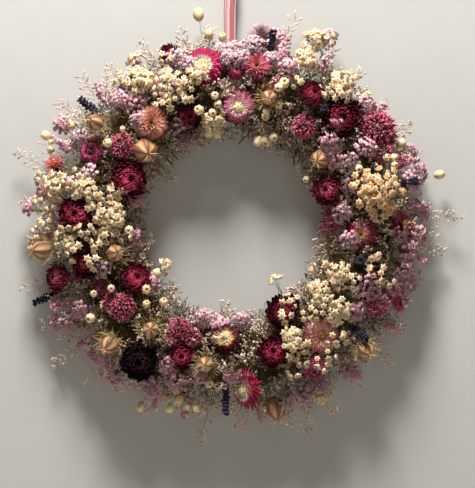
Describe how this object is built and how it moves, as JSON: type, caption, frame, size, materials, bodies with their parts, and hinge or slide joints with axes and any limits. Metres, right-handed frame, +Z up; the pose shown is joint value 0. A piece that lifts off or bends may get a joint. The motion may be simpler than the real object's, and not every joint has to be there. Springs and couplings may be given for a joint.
{
  "type": "door wreath",
  "caption": "Round dried-flower wreath: mitred stem bunches wired to a flat ring frame, set with everlastings, seed pods and sprays, hung by a knotted ribbon loop.",
  "frame": {"origin": "centre of the bore of the ribbon's hanging eye", "axes": "+Z up, +X to the right of someone who faces the wreath, +Y along the bore towards the door"},
  "size_m": [0.4489, 0.0722, 0.4793],
  "materials": {
    "frame_wire": "dark green lacquered frame wire",
    "reel_wire": "annealed reel wire",
    "ribbon": "satin ribbon, rose with paler edges",
    "dry_filler": "bundled dried stems and leaves, brownish green",
    "petals_crimson": "papery dried bracts, crimson",
    "petals_burgundy": "papery dried bracts, dark burgundy",
    "petals_magenta": "papery dried bracts, magenta",
    "petals_rose": "papery dried bracts, dusty rose",
    "petals_salmon": "papery dried bracts, salmon",
    "pod_husk": "dry papery seed husk with purple-brown stripes",
    "lavender": "dried lavender, grey violet",
    "cream_floret": "dried everlasting florets, cream",
    "pink_floret": "dried statice florets, pink",
    "dry_spray": "fine branching dried sprays, beige"
  },
  "bodies": {
    "hanging_eye": {"ribbon_eye": "ribbon"},
    "ribbon": {"ribbon_knot": "ribbon", "ribbon_strands": "ribbon"},
    "wreath": {"binding_wire": "reel_wire", "everlasting_buds": "cream_floret", "everlasting_umbels": "cream_floret", "filler_bunch_01": "dry_filler", "filler_bunch_02": "dry_filler", "filler_bunch_03": "dry_filler", "filler_bunch_04": "dry_filler", "filler_bunch_05": "dry_filler", "filler_bunch_06": "dry_filler", "filler_bunch_07": "dry_filler", "filler_bunch_08": "dry_filler", "filler_bunch_09": "dry_filler", "filler_bunch_10": "dry_filler", "filler_bunch_11": "dry_filler", "filler_bunch_12": "dry_filler", "frame_crimped_wire": "frame_wire", "frame_inner_ring": "frame_wire", "frame_outer_ring": "frame_wire", "lavender_spikes": "lavender", "pink_statice_sprays": "pink_floret", "sea_lavender_sprays": "dry_spray", "seed_pods": "pod_husk", "strawflower_01": "petals_rose", "strawflower_02": "petals_rose", "strawflower_03": "petals_rose", "strawflower_04": "petals_rose", "strawflower_05": "petals_crimson", "strawflower_06": "petals_crimson", "strawflower_07": "petals_crimson", "strawflower_08": "petals_crimson", "strawflower_09": "petals_magenta", "strawflower_10": "petals_burgundy", "strawflower_11": "petals_magenta", "strawflower_12": "petals_rose", "strawflower_13": "petals_burgundy", "strawflower_14": "petals_crimson", "strawflower_15": "petals_magenta", "strawflower_16": "petals_burgundy", "strawflower_17": "petals_crimson", "strawflower_18": "petals_burgundy", "strawflower_19": "petals_crimson", "strawflower_20": "petals_crimson", "strawflower_21": "petals_magenta", "strawflower_22": "petals_crimson", "strawflower_23": "petals_salmon", "strawflower_24": "petals_crimson", "strawflower_25": "petals_magenta", "strawflower_26": "petals_salmon", "strawflower_27": "petals_burgundy", "strawflower_28": "petals_burgundy", "strawflower_29": "petals_crimson", "tufted_heads": "petals_magenta"}
  },
  "joints": [
    {"name": "side_swing", "type": "hinge", "parent": "hanging_eye", "child": "ribbon", "pos_m": [0, 0, -0.013], "axis": [0, 1, 0], "range_deg": [-20, 20]},
    {"name": "wreath_tilt", "type": "hinge", "parent": "ribbon", "child": "wreath", "pos_m": [0, 0, -0.105], "axis": [-1, 0, 0], "range_deg": [0, 25]}
  ]
}
